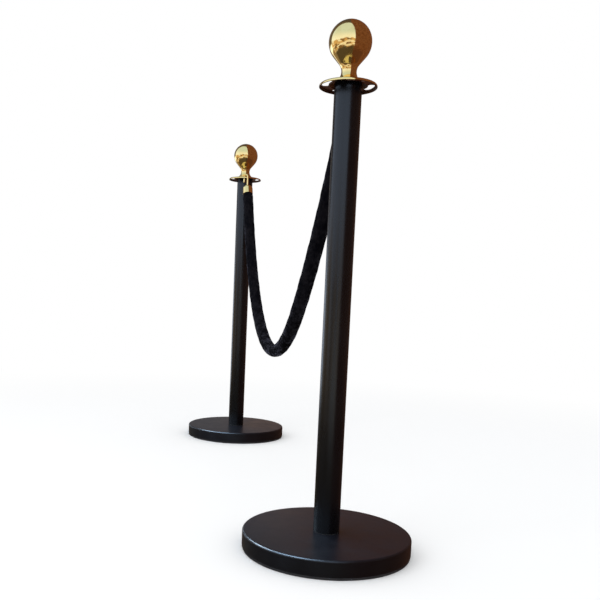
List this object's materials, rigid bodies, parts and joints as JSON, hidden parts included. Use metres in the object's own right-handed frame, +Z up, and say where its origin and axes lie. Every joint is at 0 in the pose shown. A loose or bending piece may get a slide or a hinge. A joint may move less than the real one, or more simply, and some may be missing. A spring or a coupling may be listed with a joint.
{
  "type": "rope stanchion barrier",
  "caption": "Pair of ball-top posts on round weighted bases, joined by a hanging velvet rope whose hooks drop into slots in each post's collar disc.",
  "frame": {"origin": "on the floor, midway between the two posts' axes", "axes": "+X from the front post to the rear post, +Z up; the rear half is the front half turned 180 degrees about Z, except that the front hook has slid sideways in its slot and takes the upper length of the rope with it"},
  "size_m": [1.457, 0.32, 0.973],
  "materials": {
    "gold": "polished gold plate",
    "tube_coat": "satin black powder coat",
    "base_coat": "satin black powder coat",
    "rubber": "matt",
    "velvet": "velvet pile",
    "core": "cotton braid",
    "steel": "zinc plated",
    "iron": "as cast",
    "nylon": "matt"
  },
  "bodies": {
    "front_post": {"front_base_ring": "rubber", "front_base_weight": "iron", "front_base_cover": "base_coat", "front_clamp_bolt": "steel", "front_spring_washer": "steel", "front_clamp_washer": "steel", "front_foot_gasket": "rubber", "front_bottom_plug": "steel", "front_tube": "tube_coat", "front_top_plug": "steel", "front_disc_gasket": "rubber", "front_hook_disc": "gold"},
    "front_finial_washer": {"front_finial_washer": "nylon"},
    "front_finial": {"front_finial_stud": "steel", "front_ball_finial": "gold"},
    "front_hook": {"front_hook": "gold", "front_swivel_ball": "steel"},
    "front_cup": {"front_end_cup": "gold"},
    "front_rope_upper": {"front_upper_core": "core", "front_upper_sleeve": "velvet"},
    "front_rope_middle": {"front_middle_core": "core", "front_middle_sleeve": "velvet"},
    "front_rope_lower": {"front_lower_core": "core", "front_lower_sleeve": "velvet"},
    "rear_post": {"rear_base_ring": "rubber", "rear_base_weight": "iron", "rear_base_cover": "base_coat", "rear_clamp_bolt": "steel", "rear_spring_washer": "steel", "rear_clamp_washer": "steel", "rear_foot_gasket": "rubber", "rear_bottom_plug": "steel", "rear_tube": "tube_coat", "rear_top_plug": "steel", "rear_disc_gasket": "rubber", "rear_hook_disc": "gold"},
    "rear_finial_washer": {"rear_finial_washer": "nylon"},
    "rear_finial": {"rear_finial_stud": "steel", "rear_ball_finial": "gold"},
    "rear_hook": {"rear_hook": "gold", "rear_swivel_ball": "steel"},
    "rear_cup": {"rear_end_cup": "gold"},
    "rear_rope_upper": {"rear_upper_core": "core", "rear_upper_sleeve": "velvet"},
    "rear_rope_middle": {"rear_middle_core": "core", "rear_middle_sleeve": "velvet"},
    "rear_rope_lower": {"rear_lower_core": "core", "rear_lower_sleeve": "velvet"}
  },
  "joints": [
    {"name": "post_spacing", "type": "slide", "parent": "front_post", "child": "rear_post", "axis": [1, 0, 0], "range_m": [-0.15, 0.12]},
    {"name": "front_hook_lift", "type": "slide", "parent": "front_post", "child": "front_hook", "axis": [0, 0, 1], "range_m": [0, 0.021]},
    {"name": "front_rope_swing", "type": "hinge", "parent": "front_hook", "child": "front_cup", "pos_m": [-0.5078, -0.01721, 0.82189], "axis": [0.9999, 0.0169, 0], "range_deg": [-20, 20]},
    {"name": "front_rope_upper_bend", "type": "hinge", "parent": "front_cup", "child": "front_rope_upper", "pos_m": [-0.4985, -0.016, 0.801], "axis": [0, 1, 0], "range_deg": [-8.2, 10.2]},
    {"name": "front_rope_middle_bend", "type": "hinge", "parent": "front_rope_upper", "child": "front_rope_middle", "pos_m": [-0.25331, 0, 0.43898], "axis": [0, 1, 0], "range_deg": [-2.9, 2.3]},
    {"name": "front_rope_lower_bend", "type": "hinge", "parent": "front_rope_middle", "child": "front_rope_lower", "pos_m": [-0.11741, 0, 0.35618], "axis": [0, 1, 0], "range_deg": [-7.4, 5.9]},
    {"name": "front_finial_rise", "type": "slide", "parent": "front_post", "child": "front_finial_washer", "axis": [0, 0, 1], "range_m": [0, 0.0121]},
    {"name": "front_finial_spin", "type": "hinge", "parent": "front_finial_washer", "child": "front_finial", "pos_m": [-0.5685, 0, 0.9], "axis": [0, 0, 1], "range_deg": [0, 2880]},
    {"name": "rear_hook_lift", "type": "slide", "parent": "rear_post", "child": "rear_hook", "axis": [0, 0, 1], "range_m": [0, 0.021]},
    {"name": "rear_rope_swing", "type": "hinge", "parent": "rear_hook", "child": "rear_cup", "pos_m": [0.50788, 0, 0.82189], "axis": [0.9999, 0.0169, 0], "range_deg": [-20, 20]},
    {"name": "rear_rope_upper_bend", "type": "hinge", "parent": "rear_cup", "child": "rear_rope_upper", "pos_m": [0.4985, 0, 0.801], "axis": [0, -1, 0], "range_deg": [-8.2, 10.2]},
    {"name": "rear_rope_middle_bend", "type": "hinge", "parent": "rear_rope_upper", "child": "rear_rope_middle", "pos_m": [0.25331, 0, 0.43898], "axis": [0, -1, 0], "range_deg": [-2.9, 2.3]},
    {"name": "rear_rope_lower_bend", "type": "hinge", "parent": "rear_rope_middle", "child": "rear_rope_lower", "pos_m": [0.11741, 0, 0.35618], "axis": [0, -1, 0], "range_deg": [-7.4, 5.9]},
    {"name": "rear_finial_rise", "type": "slide", "parent": "rear_post", "child": "rear_finial_washer", "axis": [0, 0, 1], "range_m": [0, 0.0121]},
    {"name": "rear_finial_spin", "type": "hinge", "parent": "rear_finial_washer", "child": "rear_finial", "pos_m": [0.5685, 0, 0.9], "axis": [0, 0, 1], "range_deg": [0, 2880]}
  ],
  "couplings": [
    {"joint": "front_rope_upper_bend", "follows": "post_spacing", "rad_per_m": -1.1859},
    {"joint": "front_rope_middle_bend", "follows": "post_spacing", "rad_per_m": 0.33204},
    {"joint": "front_rope_lower_bend", "follows": "post_spacing", "rad_per_m": 0.85381},
    {"joint": "front_finial_rise", "follows": "front_finial_spin", "m_per_rad": 0.00023873},
    {"joint": "rear_rope_upper_bend", "follows": "post_spacing", "rad_per_m": -1.1859},
    {"joint": "rear_rope_middle_bend", "follows": "post_spacing", "rad_per_m": 0.33204},
    {"joint": "rear_rope_lower_bend", "follows": "post_spacing", "rad_per_m": 0.85381},
    {"joint": "rear_finial_rise", "follows": "rear_finial_spin", "m_per_rad": 0.00023873},
    {"joint": "rear_hook_lift", "follows": "front_hook_lift", "ratio": 1},
    {"joint": "rear_rope_swing", "follows": "front_rope_swing", "ratio": 1}
  ]
}
